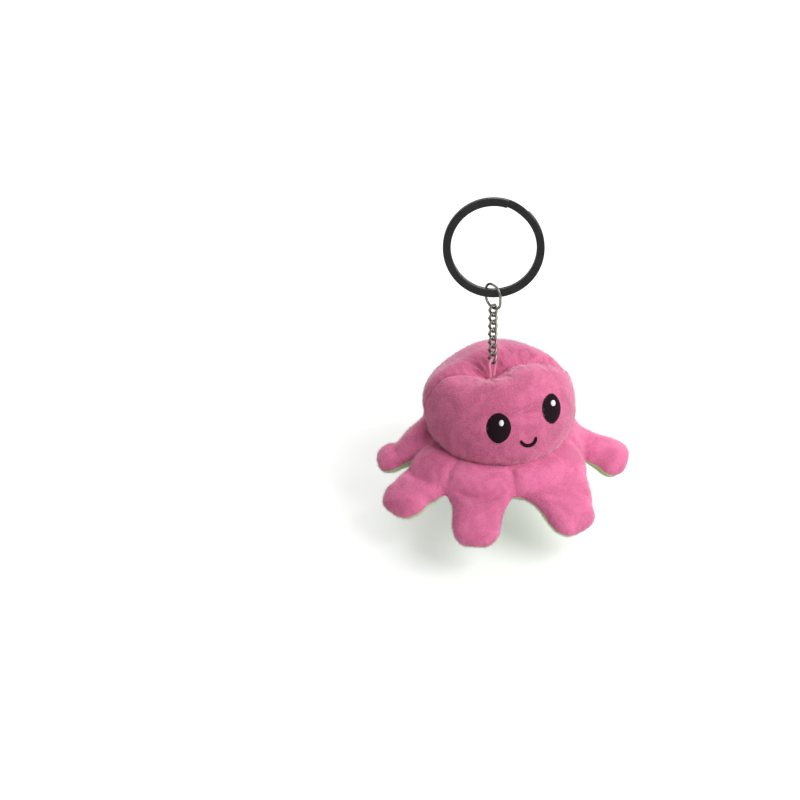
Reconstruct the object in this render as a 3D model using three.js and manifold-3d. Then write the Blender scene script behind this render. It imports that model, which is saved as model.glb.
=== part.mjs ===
// A small reversible plush octopus that hangs on a curb chain and a split ring.
// Millimetres, +Z up. The octopus hangs plumb below the origin, which is level with the
// inside of the split ring's top, and looks towards -Y.

import * as THREE from "three";
import { mergeVertices } from "three/addons/utils/BufferGeometryUtils.js";
import Module from "manifold-3d";

const wasm = await Module();
wasm.setup();

// Clearances
const softGap = 0.3;
const wireGap = 0.2;
const seatGap = 0.3;

// Split ring: two turns of one flat wire
const ringOuterDiameter = 30;
const ringWireWidth = 2.4;
const ringWireThickness = 0.9;
const ringTurnGap = 0.45;
const ringWireChamfer = 0.25;
const ringStepPosition = 60;
const ringStepAngle = 26;
const ringFacing = -25;
const ringLean = 20;

// Jump ring and chain, both of round wire
const jumpWire = 0.8;
const jumpInnerWidth = 5.2;
const jumpInnerLength = 7.4;
const linkCount = 7;
const linkWire = 0.8;
const linkInnerWidth = 1.4;
const linkInnerLength = 3.05;
const linkEndTwist = 45;

// Hanging loop of fabric cord
const loopCord = 0.8;
const loopWidth = 2.6;
const loopLength = 4.6;

// Head: a flattened ball with a dimple where the loop is sewn in
const headRadius = 23.2;
const headHalfHeight = 14.7;
const headUpperFullness = 2.4;
const headLowerFullness = 3.6;
const dimpleDepth = 2.9;
const dimpleRadius = 5.5;
const neckDrop = 10.4;
const seamNib = 0.035;
const seamNibSpread = 13;
const seamNibStart = 17.5;

// Cavity inside the head, lined with the second skin
const cavityRadius = 14.5;
const cavityTop = 4;
const cavityShoulder = -7;
const cavityFullness = 2.4;

// Skirt between the head and the arms
const skirtRimRadius = 29.6;
const skirtHalfThickness = 3.1;
const skirtLipHalfThickness = 2.6;
const mouthRounding = 1.6;

// Arms
const armCount = 8;
const firstArmAngle = -32;
const armDroop = 33;
const armHingeRadius = 27;
const armRootRadius = 2;
const armRootHalfWidth = 7.3;
const armHalfWidth = 7.8;
const armHalfThickness = 3.3;
const armLength = 17.3;
const armSwell = 9;
const armFullness = 2.6;
const armSwing = 139;
const armPocketReach = 8;

// Fabric and embroidery
const skin = 1.2;
const stitchThickness = 0.5;
const stitchLift = 0.25;
const stitchWidth = 0.85;
const eyeWidth = 7.2;
const eyeHeight = 8.4;
const eyeAngle = 23.5;
const eyeLevel = 7.8;
const glintWidth = 1.9;
const glintHeight = 2.2;
const glintShift = [0.8, 1.5];
const bowSweep = 160;
const smileRadius = 2.5;
const smileLevel = 1.8;
const angryEyeRadius = 3.6;
const angryEyeAngle = 42;
const angryEyeLevel = -1;
const angryEyeSlant = 20;
const angryEyeLid = 10;
const angryGlintShift = [0.6, -0.9];
const frownRadius = 2.3;
const frownLevel = -7;
const stitchReach = 6;

// Facets
const ringSteps = 72;
const tubeSteps = 24;
const wireSides = 6;
const loopSteps = 18;
const loopSides = 8;
const bodySides = 24;
const armSides = 8;
const pocketSteps = 5;
const stitchSteps = 10;
const seatSamples = 20;

const degrees = Math.PI / 180;

// Places that follow from the sizes above
const ringThickness = 2 * ringWireThickness + ringTurnGap;
const ringMiddleRadius = (ringOuterDiameter - ringWireWidth) / 2;
const ringReach = 2 * ringMiddleRadius - ringWireWidth / 2;
const gripZ = -ringReach * Math.cos(ringLean * degrees);
const jumpHalfWidth = (jumpInnerWidth + jumpWire) / 2;
const jumpLength = jumpInnerLength + jumpWire;
const linkHalfWidth = (linkInnerWidth + linkWire) / 2;
const linkLength = linkInnerLength + linkWire;
const linkPitch = linkLength - linkWire - wireGap;
const jumpTopZ = gripZ + jumpRise();
const firstLinkTopZ = jumpTopZ - jumpLength + (jumpWire + linkWire) / 2 + wireGap;
const lastLinkBottomZ = firstLinkTopZ - linkLength - (linkCount - 1) * linkPitch;
const loopTopZ = lastLinkBottomZ + (linkWire + loopCord) / 2 + seatGap;
const loopBottomZ = loopTopZ + loopCord / 2 - loopLength;
const headZ = loopBottomZ - seatGap - crownLevel((loopWidth + loopCord) / 2, 0);
const seamDrop = neckDrop + softGap + skirtHalfThickness;
const reach = headRadius * 2;

const looks = {
  gunmetal: { color: 0x1d1d20, roughness: 0.35, metalness: 0.9 },
  pewter: { color: 0x8d8578, roughness: 0.4, metalness: 0.9 },
  pinkPlush: { color: 0xd2689b, roughness: 0.95, metalness: 0 },
  greenPlush: { color: 0xaed486, roughness: 0.95, metalness: 0 },
  polyester: { color: 0xf4f2ee, roughness: 1, metalness: 0 },
  blackThread: { color: 0x1a1418, roughness: 0.6, metalness: 0 },
  whiteThread: { color: 0xf5f3f4, roughness: 0.6, metalness: 0 },
};

// Points of the leaning band's outline round the spot where the jump ring hangs on it
function bandOutline() {
  const half = ringThickness / 2;
  const flat = half - ringWireChamfer;
  const edge = ringWireWidth / 2;
  const points = [-half, half].map((across) => [across, edge - ringWireChamfer]);
  for (let i = 0; i <= seatSamples; i += 1) points.push([flat * ((2 * i) / seatSamples - 1), edge]);
  const lean = ringLean * degrees;
  return points.map(([across, up]) => [
    across * Math.cos(lean) + up * Math.sin(lean),
    up * Math.cos(lean) - across * Math.sin(lean),
  ]);
}

// Height of the jump ring's top wire over the middle of the band, so that its arc clears
// the band on both sides
function jumpRise() {
  const room = seatGap + jumpWire / 2;
  const band = bandOutline();
  let rise = 0;
  for (let i = -seatSamples; i <= seatSamples; i += 1) {
    const along = (jumpHalfWidth * i) / (seatSamples + 1);
    const drop = jumpHalfWidth - Math.sqrt(jumpHalfWidth ** 2 - along ** 2);
    for (const [across, up] of band) {
      const aside = along * Math.sin(linkEndTwist * degrees) - across;
      if (Math.abs(aside) < room) {
        rise = Math.max(rise, up + drop + Math.sqrt(room ** 2 - aside ** 2));
      }
    }
  }
  return rise;
}

// Closed solids

function weld(geometry) {
  geometry.deleteAttribute("normal");
  geometry.deleteAttribute("uv");
  const welded = mergeVertices(geometry);
  const index = welded.index.array;
  const kept = [];
  for (let i = 0; i < index.length; i += 3) {
    const [a, b, c] = [index[i], index[i + 1], index[i + 2]];
    if (a !== b && b !== c && c !== a) kept.push(a, b, c);
  }
  welded.setIndex(kept);
  return facingOut(welded);
}

function facingOut(geometry) {
  const place = geometry.attributes.position;
  const index = geometry.index.array;
  const corner = [new THREE.Vector3(), new THREE.Vector3(), new THREE.Vector3()];
  let volume = 0;
  for (let i = 0; i < index.length; i += 3) {
    corner.forEach((point, k) => point.fromBufferAttribute(place, index[i + k]));
    volume += corner[0].dot(corner[1].clone().cross(corner[2]));
  }
  if (volume > 0) return geometry;
  geometry.setIndex([...index].reverse());
  return geometry;
}

function toSolid(geometry) {
  const welded = weld(geometry);
  return new wasm.Manifold(
    new wasm.Mesh({
      numProp: 3,
      vertProperties: new Float32Array(welded.attributes.position.array),
      triVerts: new Uint32Array(welded.index.array),
    }),
  );
}

function toGeometry(solid) {
  const mesh = solid.getMesh();
  const geometry = new THREE.BufferGeometry();
  geometry.setAttribute("position", new THREE.BufferAttribute(mesh.vertProperties, 3));
  geometry.setIndex(new THREE.BufferAttribute(mesh.triVerts, 1));
  geometry.computeVertexNormals();
  return geometry;
}

// Rings of points joined one to the next, with a fan over each end
function loft(rings) {
  const sides = rings[0].length;
  const points = rings.flat();
  const index = [];
  for (let row = 0; row + 1 < rings.length; row += 1) {
    for (let i = 0; i < sides; i += 1) {
      const a = row * sides + i;
      const b = row * sides + ((i + 1) % sides);
      index.push(a, b, a + sides, b, b + sides, a + sides);
    }
  }
  const last = (rings.length - 1) * sides;
  for (let i = 1; i + 1 < sides; i += 1) {
    index.push(0, i + 1, i, last, last + i, last + i + 1);
  }
  const geometry = new THREE.BufferGeometry().setFromPoints(points);
  geometry.setIndex(index);
  return geometry;
}

// A profile of [radius, height] points turned about the Z axis
function turned(profile) {
  const points = profile.map(([r, z]) => new THREE.Vector2(r, z));
  const onAxis = profile[0][0] === 0;
  if (!onAxis) points.push(points[0].clone());
  return new THREE.LatheGeometry(points, bodySides).rotateX(Math.PI / 2);
}

// A block of the profile plane turned about the Z axis, for cutting
function turnedBlock(rLow, rHigh, zLow, zHigh) {
  const corners = [
    [rLow, zLow],
    [rHigh, zLow],
    [rHigh, zHigh],
    [rLow, zHigh],
  ];
  return toSolid(turned(corners));
}

function block(low, high) {
  const size = high.map((value, k) => value - low[k]);
  const middle = high.map((value, k) => (value + low[k]) / 2);
  return toSolid(new THREE.BoxGeometry(...size).translate(...middle));
}

// The split ring's wire: a front turn, a step across its thickness, a back turn
class SplitRingCurve extends THREE.Curve {
  getPoint(t, target = new THREE.Vector3()) {
    const half = ringStepAngle / 2;
    const angle = half + t * (720 - ringStepAngle);
    const across = THREE.MathUtils.smoothstep(angle, 360 - half, 360 + half);
    const turn = (angle + ringStepPosition) * degrees;
    const depth = (across - 0.5) * (ringWireThickness + ringTurnGap);
    const x = ringMiddleRadius * Math.cos(turn);
    return target.set(x, depth, ringMiddleRadius * Math.sin(turn));
  }
}

function splitRing() {
  const x = ringWireThickness / 2;
  const y = ringWireWidth / 2;
  const c = ringWireChamfer;
  const section = new THREE.Shape([
    new THREE.Vector2(x - c, -y),
    new THREE.Vector2(x, c - y),
    new THREE.Vector2(x, y - c),
    new THREE.Vector2(x - c, y),
    new THREE.Vector2(c - x, y),
    new THREE.Vector2(-x, y - c),
    new THREE.Vector2(-x, c - y),
    new THREE.Vector2(c - x, -y),
  ]);
  const path = new SplitRingCurve();
  console.log(`split ring: least gap between its turns ${turnGap(path).toFixed(2)} mm`);
  const options = { steps: ringSteps, extrudePath: path, bevelEnabled: false };
  return weld(new THREE.ExtrudeGeometry(section, options));
}

// The least space left between the two turns, measured on points of the wire's middle
function turnGap(path) {
  const points = path.getSpacedPoints(ringSteps * 2);
  const halfTurn = ringSteps / 2;
  let least = Infinity;
  points.forEach((a, i) => {
    for (let j = i + halfTurn; j < points.length; j += 1) {
      least = Math.min(least, a.distanceTo(points[j]));
    }
  });
  return least - ringWireThickness;
}

// An oval of wire in the XZ plane, centred on the origin, whose ends are twisted apart
class LinkCurve extends THREE.Curve {
  constructor(halfWidth, length, endTwist) {
    super();
    Object.assign(this, { halfWidth, length, endTwist });
  }

  getPoint(t, target = new THREE.Vector3()) {
    const straight = this.length / 2 - this.halfWidth;
    const arc = Math.PI * this.halfWidth;
    const total = 2 * arc + 4 * straight;
    const along = (((t % 1) + 1) % 1) * total;
    let x;
    let z;
    if (along < straight || along >= total - straight) {
      x = this.halfWidth;
      z = along < straight ? along : along - total;
    } else if (along < straight + arc) {
      const turn = (along - straight) / this.halfWidth;
      x = this.halfWidth * Math.cos(turn);
      z = straight + this.halfWidth * Math.sin(turn);
    } else if (along < 3 * straight + arc) {
      x = -this.halfWidth;
      z = 2 * straight + arc - along;
    } else {
      const turn = Math.PI + (along - 3 * straight - arc) / this.halfWidth;
      x = this.halfWidth * Math.cos(turn);
      z = -straight + this.halfWidth * Math.sin(turn);
    }
    const twist = this.endTwist * THREE.MathUtils.clamp(z / straight, -1, 1) * degrees;
    return target.set(x * Math.cos(twist), x * Math.sin(twist), z);
  }
}

function link(halfWidth, length, wire, endTwist) {
  const path = new LinkCurve(halfWidth, length, endTwist);
  return weld(new THREE.TubeGeometry(path, tubeSteps, wire / 2, wireSides, true));
}

// An upturned U of cord, from one leg's foot over the top to the other's
class LoopCurve extends THREE.Curve {
  getPoint(t, target = new THREE.Vector3()) {
    const half = loopWidth / 2;
    const leg = loopLength - loopCord / 2 - half;
    const arc = Math.PI * half;
    const along = t * (2 * leg + arc);
    if (along < leg) return target.set(-half, 0, along - leg - half);
    if (along > leg + arc) return target.set(half, 0, leg + arc - half - along);
    const turn = Math.PI - (along - leg) / half;
    return target.set(half * Math.cos(turn), 0, half * Math.sin(turn) - half);
  }
}

function hangingLoop() {
  const options = {
    steps: loopSteps,
    curveSegments: loopSides / 2,
    extrudePath: new LoopCurve(),
    bevelEnabled: false,
  };
  return weld(new THREE.ExtrudeGeometry(ovalShape(loopCord, loopCord), options));
}

// Head

// Radius of a rounded form at a height, and the form's outward normal there
function formAt(z, radius, half, fullness) {
  const level = Math.min(Math.abs(z) / half, 1);
  const r = radius * (1 - level ** fullness) ** (1 / fullness);
  const normal = new THREE.Vector2(
    (r / radius) ** (fullness - 1) / radius,
    (Math.sign(z) * level ** (fullness - 1)) / half,
  );
  return { r, normal: normal.normalize() };
}

// Height of the crown over the head's centre, with the dimple, moved in by a distance
function crownLevel(r, inset) {
  const share = r / (headRadius - inset);
  const level = (1 - Math.min(share, 1) ** headUpperFullness) ** (1 / headUpperFullness);
  const dimple = dimpleDepth * Math.exp(-((r / dimpleRadius) ** 2));
  return (headHalfHeight - inset) * level - dimple;
}

// The head's outline from the crown to the neck, moved in by a distance
function headOutline(inset) {
  const crown = [0, 0.07, 0.16, 0.3, 0.5, 0.7, 0.86, 0.96, 1];
  const points = crown.map((share) => {
    const r = (headRadius - inset) * share;
    return [r, crownLevel(r, inset)];
  });
  for (const share of [0.55, 1]) {
    points.push([headRadiusAt(-neckDrop * share, inset), -neckDrop * share]);
  }
  return points;
}

function headRadiusAt(z, inset) {
  const half = headHalfHeight - inset;
  return formAt(z, headRadius - inset, half, headLowerFullness).r;
}

// The cavity's outline from its top to the neck, moved out by a distance
function cavityOutline(outset) {
  const radius = cavityRadius + outset;
  const half = cavityTop - cavityShoulder + outset;
  const points = [];
  for (const share of [0, 0.35, 0.65, 0.87, 0.97]) {
    const level = half * (1 - share ** cavityFullness) ** (1 / cavityFullness);
    points.push([radius * share, cavityShoulder + level]);
  }
  points.push([radius, cavityShoulder], [radius, -neckDrop]);
  return points;
}

function between(outer, inner) {
  return toSolid(nibbed(turned([...outer, ...inner.reverse()])));
}

// Both ends of the seam over the crown stand out a little, as sewn corners do
function nibbed(geometry) {
  const place = geometry.attributes.position;
  for (let i = 0; i < place.count; i += 1) {
    const x = place.getX(i);
    const y = place.getY(i);
    const fromSeam = Math.atan2(Math.abs(y), Math.abs(x)) / degrees;
    const outer = THREE.MathUtils.smoothstep(Math.hypot(x, y), seamNibStart, headRadius);
    const pull = seamNib * outer * Math.exp(-((fromSeam / seamNibSpread) ** 2));
    place.setXY(i, x * (1 + pull), y * (1 + pull));
  }
  return geometry;
}

function frontHalf(solid) {
  return toGeometry(solid.subtract(block([-reach, -softGap / 2, -reach], [reach, reach, reach])));
}

function backHalf(solid) {
  return toGeometry(solid.subtract(block([-reach, -reach, -reach], [reach, softGap / 2, reach])));
}

// Skirt

// The skirt's section, moved in by a distance. It has a neck up to a height, as wide as
// the head there, and tapers past the lip, where the arms are hinged
function skirtSection(inset, top) {
  const neck = headRadiusAt(-neckDrop, inset);
  const half = skirtHalfThickness - inset;
  const lip = armHingeRadius - armRootRadius;
  const rounding = Math.max(mouthRounding - Math.SQRT2 * inset, 0);
  const section = [
    [cavityRadius + inset, top],
    [neck, top],
    [neck, half - seamDrop],
  ];
  for (const turn of [0, 35, 65, 90, 115, 145, 180]) {
    const r = lip + (skirtRimRadius - inset - lip) * Math.sin(turn * degrees);
    const z = (skirtLipHalfThickness - inset) * Math.cos(turn * degrees) - seamDrop;
    section.push([r, z]);
  }
  section.push([neck, -half - seamDrop]);
  section.push([cavityRadius + inset + rounding, -half - seamDrop]);
  section.push([cavityRadius + inset, rounding - half - seamDrop]);
  return toSolid(turned(section));
}

// The skirt's upper skin, its lower skin with the cavity's mouth, and the padding
function skirtPieces() {
  const pockets = armPockets();
  const top = -neckDrop - softGap;
  const shell = skirtSection(0, top).subtract(skirtSection(skin, top + skin));
  const skins = shell.subtract(pockets);
  const wall = cavityRadius + skin + softGap;
  const high = turnedBlock(wall, reach, softGap / 2 - seamDrop, 0);
  const low = turnedBlock(wall, reach, -softGap / 2 - seamDrop, 0);
  return {
    upper: toGeometry(skins.intersect(high)),
    lower: toGeometry(skins.subtract(low)),
    padding: toGeometry(skirtSection(skin + softGap, top).subtract(pockets)),
  };
}

// The hollow that one arm's root turns in, with room for its swing
function armPocket() {
  const radius = armRootRadius + softGap;
  const edge = armSwing * degrees;
  const far = armPocketReach;
  const shape = new THREE.Shape();
  shape.moveTo(far * Math.cos(edge), far * Math.sin(edge));
  shape.lineTo(radius * Math.cos(edge), radius * Math.sin(edge));
  shape.absarc(0, 0, radius, edge, 2 * Math.PI - edge, false);
  shape.lineTo(far * Math.cos(edge), -far * Math.sin(edge));
  shape.lineTo(far, -far * Math.sin(edge));
  shape.lineTo(far, far * Math.sin(edge));
  const depth = 2 * (armRootHalfWidth + softGap);
  const options = { depth, bevelEnabled: false, curveSegments: pocketSteps };
  const geometry = new THREE.ExtrudeGeometry(shape, options).translate(0, 0, -depth / 2);
  return geometry.rotateX(Math.PI / 2).translate(armHingeRadius, 0, -seamDrop);
}

function armPockets() {
  return armAngles()
    .map((angle) => toSolid(armPocket().rotateZ(angle * degrees)))
    .reduce((all, pocket) => all.add(pocket));
}

// Each arm's direction, turned from +X towards +Y
function armAngles() {
  return Array.from({ length: armCount }, (_, i) => firstArmAngle - 90 + (i * 360) / armCount);
}

// Arms

// One arm along +X from its hinge at the origin, moved in by a distance
function armForm(inset) {
  const root = armRootRadius - inset;
  const rings = [25, 55, 90].map((turn) => {
    const angle = turn * degrees;
    return armRing(-root * Math.cos(angle), armRootHalfWidth - inset, root * Math.sin(angle));
  });
  const middleWidth = (armRootHalfWidth + armHalfWidth) / 2 - inset;
  const middleThickness = (armRootRadius + armHalfThickness) / 2 - inset;
  rings.push(armRing(armSwell / 2, middleWidth, middleThickness));
  for (const turn of [0, 32, 58, 80]) {
    const level = Math.cos(turn * degrees);
    const x = armSwell + (armLength - inset - armSwell) * Math.sin(turn * degrees);
    rings.push(armRing(x, (armHalfWidth - inset) * level, (armHalfThickness - inset) * level));
  }
  return loft(rings);
}

function armRing(x, halfWidth, halfThickness) {
  return Array.from({ length: armSides }, (_, i) => {
    const turn = ((i + 0.5) * 2 * Math.PI) / armSides;
    const c = Math.cos(turn);
    const s = Math.sin(turn);
    const size = (Math.abs(c) ** armFullness + Math.abs(s) ** armFullness) ** (-1 / armFullness);
    return new THREE.Vector3(x, halfWidth * c * size, halfThickness * s * size);
  });
}

// An arm's upper skin, its lower skin and the padding between them
function armPieces() {
  const shell = toSolid(armForm(0)).subtract(toSolid(armForm(skin)));
  const lower = block([-reach, -reach, -reach], [reach, reach, softGap / 2]);
  const upper = block([-reach, -reach, -softGap / 2], [reach, reach, reach]);
  return {
    upper: toGeometry(shell.subtract(lower)),
    lower: toGeometry(shell.subtract(upper)),
    padding: weld(armForm(skin + softGap)),
  };
}

// Embroidery

function ovalShape(width, height) {
  return new THREE.Shape().absellipse(0, 0, width / 2, height / 2, 0, 2 * Math.PI, false, 0);
}

// A half-round eye whose flat top slants down towards the nose, on the side that is given
function angryShape(side) {
  const slant = side * angryEyeSlant;
  const start = (180 - angryEyeLid + slant) * degrees;
  const end = (360 + angryEyeLid + slant) * degrees;
  return new THREE.Shape().absarc(0, 0, angryEyeRadius, start, end, false);
}

// A bow of thread whose middle is at an angle
function bowShape(radius, middle) {
  const start = (middle - bowSweep / 2) * degrees;
  const end = (middle + bowSweep / 2) * degrees;
  const shape = new THREE.Shape();
  shape.absarc(0, 0, radius + stitchWidth / 2, start, end, false);
  shape.absarc(0, 0, radius - stitchWidth / 2, end, start, true);
  return shape;
}

// A layer of thread that lies over the head's skin, one lift higher for each layer below
function headLayer(layer) {
  const low = softGap + layer * (stitchThickness + stitchLift);
  return between(headOutline(-low - stitchThickness), headOutline(-low));
}

// The same over the cavity's lining
function cavityLayer(layer) {
  const low = softGap + layer * (stitchThickness + stitchLift);
  return between(cavityOutline(-low), cavityOutline(-low - stitchThickness));
}

// A shape pushed through a layer. The angle is measured from the front, -Y, towards +X,
// the place is a radius and a height, and the shape looks along the normal
function stitched(shape, shift, layer, angle, place, normal) {
  const options = { depth: stitchReach, bevelEnabled: false, curveSegments: stitchSteps };
  const geometry = new THREE.ExtrudeGeometry(shape, options);
  geometry.translate(shift[0], shift[1], -stitchReach / 2);
  const out = new THREE.Vector3(normal.x, 0, normal.y);
  const right = new THREE.Vector3(0, 0, 1).cross(out).normalize();
  const up = out.clone().cross(right);
  geometry.applyMatrix4(new THREE.Matrix4().makeBasis(right, up, out));
  geometry.translate(place[0], 0, place[1]).rotateZ((angle - 90) * degrees);
  return toGeometry(toSolid(geometry).intersect(layer));
}

function onHead(shape, shift, layer, angle, level) {
  const { r, normal } = formAt(level, headRadius, headHalfHeight, headUpperFullness);
  return stitched(shape, shift, layer, angle, [r, level], normal);
}

function onCavity(shape, shift, layer, angle, level) {
  const half = cavityTop - cavityShoulder;
  const { r, normal } = formAt(level - cavityShoulder, cavityRadius, half, cavityFullness);
  return stitched(shape, shift, layer, 180 - angle, [r, level], normal.negate());
}

// Assembly

function addPiece(group, name, geometry, look) {
  const mesh = new THREE.Mesh(geometry, new THREE.MeshStandardMaterial(looks[look]));
  mesh.name = name;
  group.add(mesh);
  return mesh;
}

function chain() {
  const group = new THREE.Group();
  group.rotation.z = ringFacing * degrees;
  const lean = ringLean * degrees;
  const ring = addPiece(group, "split_ring", splitRing(), "gunmetal");
  ring.position.set(0, Math.sin(lean), Math.cos(lean)).multiplyScalar(ringMiddleRadius);
  ring.position.z += gripZ;
  ring.rotation.x = -lean;
  const jump = addPiece(group, "jump_ring", link(jumpHalfWidth, jumpLength, jumpWire, 0), "pewter");
  jump.position.z = jumpTopZ - jumpLength / 2;
  jump.rotation.z = -linkEndTwist * degrees;
  for (let i = 0; i < linkCount; i += 1) {
    const shape = link(linkHalfWidth, linkLength, linkWire, linkEndTwist);
    const mesh = addPiece(group, `chain_link_${i + 1}`, shape, "pewter");
    mesh.position.z = firstLinkTopZ - linkLength / 2 - i * linkPitch;
  }
  const loop = addPiece(group, "hanging_loop", hangingLoop(), "pinkPlush");
  loop.position.z = loopTopZ;
  loop.rotation.z = linkEndTwist * degrees;
  return group;
}

function head() {
  const group = new THREE.Group();
  const outer = between(headOutline(0), headOutline(skin));
  const lining = between(cavityOutline(skin), cavityOutline(0));
  const inset = skin + softGap;
  addPiece(group, "pink_head_front", frontHalf(outer), "pinkPlush");
  addPiece(group, "pink_head_back", backHalf(outer), "pinkPlush");
  addPiece(group, "green_head_front", frontHalf(lining), "greenPlush");
  addPiece(group, "green_head_back", backHalf(lining), "greenPlush");
  const fill = toGeometry(between(headOutline(inset), cavityOutline(inset)));
  addPiece(group, "head_fill", fill, "polyester");
  return group;
}

function skirt() {
  const group = new THREE.Group();
  const { upper, lower, padding } = skirtPieces();
  addPiece(group, "pink_skirt", upper, "pinkPlush");
  addPiece(group, "green_skirt", lower, "greenPlush");
  addPiece(group, "skirt_fill", padding, "polyester");
  return group;
}

function arms() {
  const group = new THREE.Group();
  const { upper, lower, padding } = armPieces();
  armAngles().forEach((angle, i) => {
    const direction = new THREE.Group();
    const arm = new THREE.Group();
    direction.rotation.z = angle * degrees;
    arm.position.set(armHingeRadius, 0, -seamDrop);
    arm.rotation.y = armDroop * degrees;
    addPiece(arm, `arm_${i + 1}_pink_skin`, upper, "pinkPlush");
    addPiece(arm, `arm_${i + 1}_green_skin`, lower, "greenPlush");
    addPiece(arm, `arm_${i + 1}_fill`, padding, "polyester");
    group.add(direction.add(arm));
  });
  return group;
}

function happyFace() {
  const group = new THREE.Group();
  const first = headLayer(0);
  const second = headLayer(1);
  const eye = ovalShape(eyeWidth, eyeHeight);
  const glint = ovalShape(glintWidth, glintHeight);
  for (const [side, turn] of Object.entries({ right: -eyeAngle, left: eyeAngle })) {
    const black = onHead(eye, [0, 0], first, turn, eyeLevel);
    const white = onHead(glint, glintShift, second, turn, eyeLevel);
    addPiece(group, `happy_${side}_eye`, black, "blackThread");
    addPiece(group, `happy_${side}_glint`, white, "whiteThread");
  }
  const smile = onHead(bowShape(smileRadius, 270), [0, 0], first, 0, smileLevel);
  addPiece(group, "happy_smile", smile, "blackThread");
  return group;
}

function angryFace() {
  const group = new THREE.Group();
  const first = cavityLayer(0);
  const second = cavityLayer(1);
  const glint = ovalShape(glintWidth, glintHeight);
  for (const [side, turn] of Object.entries({ right: -1, left: 1 })) {
    const eye = angryShape(turn);
    const black = onCavity(eye, [0, 0], first, turn * angryEyeAngle, angryEyeLevel);
    const white = onCavity(glint, angryGlintShift, second, turn * angryEyeAngle, angryEyeLevel);
    addPiece(group, `angry_${side}_eye`, black, "blackThread");
    addPiece(group, `angry_${side}_glint`, white, "whiteThread");
  }
  const frown = onCavity(bowShape(frownRadius, 90), [0, 0], first, 0, frownLevel);
  addPiece(group, "angry_frown", frown, "blackThread");
  return group;
}

const octopus = new THREE.Group();
octopus.position.z = headZ;
octopus.add(head(), skirt(), arms(), happyFace(), angryFace());

const toy = new THREE.Group();
toy.add(chain(), octopus);

export default toy;
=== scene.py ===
import math

import bmesh
import bpy
import numpy as np
from mathutils import Matrix, Vector, bvhtree, geometry, kdtree


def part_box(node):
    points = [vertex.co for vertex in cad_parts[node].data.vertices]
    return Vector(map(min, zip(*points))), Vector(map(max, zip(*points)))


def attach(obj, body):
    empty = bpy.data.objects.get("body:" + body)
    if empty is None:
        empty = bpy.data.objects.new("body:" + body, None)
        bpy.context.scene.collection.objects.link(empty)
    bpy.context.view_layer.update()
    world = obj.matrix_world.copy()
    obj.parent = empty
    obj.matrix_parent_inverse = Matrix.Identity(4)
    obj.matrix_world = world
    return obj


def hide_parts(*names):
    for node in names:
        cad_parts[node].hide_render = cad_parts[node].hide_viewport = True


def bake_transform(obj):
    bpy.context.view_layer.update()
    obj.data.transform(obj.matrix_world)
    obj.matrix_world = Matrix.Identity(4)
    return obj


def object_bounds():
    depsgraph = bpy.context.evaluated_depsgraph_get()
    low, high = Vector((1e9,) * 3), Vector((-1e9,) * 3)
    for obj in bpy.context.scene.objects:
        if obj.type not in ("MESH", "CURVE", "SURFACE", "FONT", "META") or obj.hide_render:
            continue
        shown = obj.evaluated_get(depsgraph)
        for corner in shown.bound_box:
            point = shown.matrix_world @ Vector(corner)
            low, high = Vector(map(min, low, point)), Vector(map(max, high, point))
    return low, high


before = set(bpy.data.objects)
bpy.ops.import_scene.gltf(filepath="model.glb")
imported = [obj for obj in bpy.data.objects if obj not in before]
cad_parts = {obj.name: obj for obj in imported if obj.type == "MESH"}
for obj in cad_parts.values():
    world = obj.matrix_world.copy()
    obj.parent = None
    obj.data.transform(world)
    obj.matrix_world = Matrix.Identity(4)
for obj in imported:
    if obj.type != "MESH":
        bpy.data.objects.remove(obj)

# Camera
# A long lens looks down on the toy's face from its right, as the photograph does, and holds
# the toy right of the middle, where the photograph shows it.
azimuth = math.radians(-24)
elevation = math.radians(36)

# One of the photograph's 800 by 800 pixels at the toy, and where the head's middle is in them
pixel = 0.0003
middle_pixel = 400
head_pixel = (491.5, 404.5)
head_centre = Vector((0, 0, -0.0655))
towards_camera = Vector((
    math.sin(azimuth) * math.cos(elevation),
    -math.cos(azimuth) * math.cos(elevation),
    math.sin(elevation),
))
picture_right = Vector((math.cos(azimuth), math.sin(azimuth), 0))
picture_up = towards_camera.cross(picture_right)
aim = head_centre - picture_right * (head_pixel[0] - middle_pixel) * pixel
aim += picture_up * (head_pixel[1] - middle_pixel) * pixel


def stand(name, data):
    """Puts an object that holds the data in the scene."""
    thing = bpy.data.objects.new(name, data)
    bpy.context.scene.collection.objects.link(thing)
    return thing


def look_back(thing, way):
    """Turns a camera or a lamp so that it looks back along the way that leads to it."""
    thing.rotation_mode = "QUATERNION"
    thing.rotation_quaternion = way.to_track_quat("Z", "Y")


lens = bpy.data.cameras.new("long_lens")
lens.lens = 200
lens.sensor_width = 36
lens.clip_start, lens.clip_end = 0.05, 20
camera = stand("camera", lens)
camera.location = aim + towards_camera * (2 * middle_pixel * pixel * lens.lens / lens.sensor_width)
look_back(camera, towards_camera)
bpy.context.scene.camera = camera


# Studio
# A white table 12.5 mm under the hanging toy's lowest point, a white surround and two soft
# lamps: a large key above the toy's left and one behind it for the pile's tips.
def linear(colour):
    """The linear red, green, blue and alpha of an sRGB hex colour."""
    channels = [int(colour[i:i + 2], 16) / 255 for i in (1, 3, 5)]
    channels = [c / 12.92 if c <= 0.04045 else ((c + 0.055) / 1.055) ** 2.4 for c in channels]
    return (*channels, 1)


def add_node(tree, kind, values={}, links={}, **settings):
    """Adds a node with its settings, its sockets' values and the links into its sockets."""
    node = tree.nodes.new(kind)
    for name, value in settings.items():
        setattr(node, name, value)
    for name, value in values.items():
        node.inputs[name].default_value = value
    for name, source in links.items():
        tree.links.new(source, node.inputs[name])
    return node


def new_material(name):
    """An empty node material and its tree."""
    material = bpy.data.materials.new(name)
    material.use_nodes = True
    material.node_tree.nodes.clear()
    return material, material.node_tree


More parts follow.
